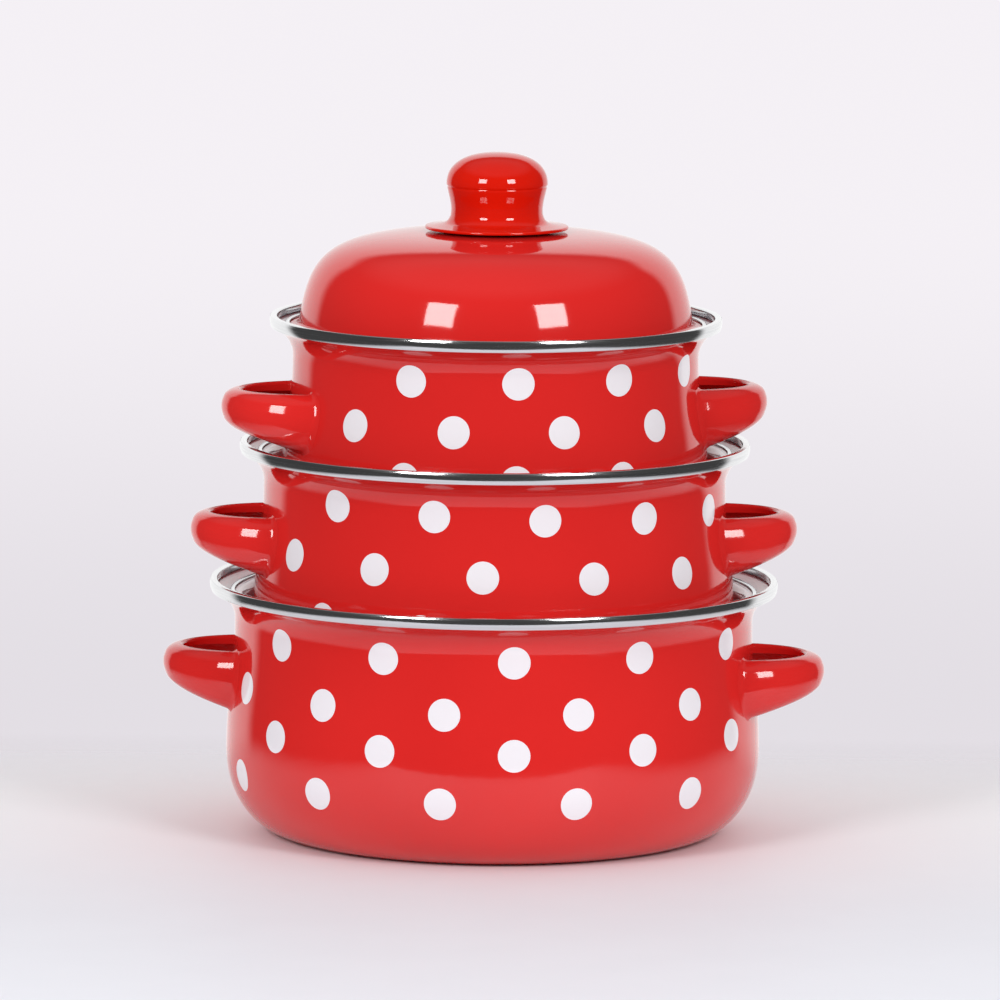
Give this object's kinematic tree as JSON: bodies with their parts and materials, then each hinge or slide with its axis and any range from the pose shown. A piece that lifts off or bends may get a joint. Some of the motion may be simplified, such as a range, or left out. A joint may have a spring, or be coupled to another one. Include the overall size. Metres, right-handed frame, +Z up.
{
  "type": "enamel pot set",
  "caption": "Stack of red enamel casseroles with white dots, steel-banded flared rims, loop side handles and domed lids with mushroom knobs; the lower lids lie turned over under the next pot.",
  "frame": {"origin": "middle of the large pot's underside, on the surface it stands on", "axes": "+Z up along the common axis of the stack, +X towards the right-hand handles, -Y towards the viewer of the picture"},
  "size_m": [0.2438, 0.208, 0.2497],
  "materials": {
    "red_enamel": "gloss vitreous enamel over steel",
    "polished_steel": "polished stainless strip",
    "red_knob": "gloss moulded phenolic",
    "plain_steel": "zinc-plated",
    "brass": "turned"
  },
  "bodies": {
    "large_pot": {"large_pot_shell": "red_enamel", "large_rim_band": "polished_steel", "large_handle_left": "red_enamel", "large_handle_right": "red_enamel"},
    "large_lid": {"large_lid_shell": "red_enamel", "large_lid_band": "polished_steel", "large_knob": "red_knob", "large_knob_insert": "brass", "large_knob_washer": "plain_steel", "large_knob_screw": "plain_steel"},
    "medium_pot": {"medium_pot_shell": "red_enamel", "medium_rim_band": "polished_steel", "medium_handle_left": "red_enamel", "medium_handle_right": "red_enamel"},
    "medium_lid": {"medium_lid_shell": "red_enamel", "medium_lid_band": "polished_steel", "medium_knob": "red_knob", "medium_knob_insert": "brass", "medium_knob_washer": "plain_steel", "medium_knob_screw": "plain_steel"},
    "small_pot": {"small_pot_shell": "red_enamel", "small_rim_band": "polished_steel", "small_handle_left": "red_enamel", "small_handle_right": "red_enamel"},
    "small_lid": {"small_lid_shell": "red_enamel", "small_lid_band": "polished_steel", "small_knob": "red_knob", "small_knob_insert": "brass", "small_knob_washer": "plain_steel", "small_knob_screw": "plain_steel"}
  },
  "joints": [
    {"name": "large_lid_lift", "type": "slide", "parent": "large_pot", "child": "large_lid", "axis": [0, 0, 1], "range_m": [0, 0.1]},
    {"name": "medium_pot_lift", "type": "slide", "parent": "large_lid", "child": "medium_pot", "axis": [0, 0, 1], "range_m": [0, 0.07]},
    {"name": "medium_lid_lift", "type": "slide", "parent": "medium_pot", "child": "medium_lid", "axis": [0, 0, 1], "range_m": [0, 0.1]},
    {"name": "small_pot_lift", "type": "slide", "parent": "medium_lid", "child": "small_pot", "axis": [0, 0, 1], "range_m": [0, 0.07]},
    {"name": "small_lid_lift", "type": "slide", "parent": "small_pot", "child": "small_lid", "axis": [0, 0, 1], "range_m": [0, 0.06]}
  ]
}
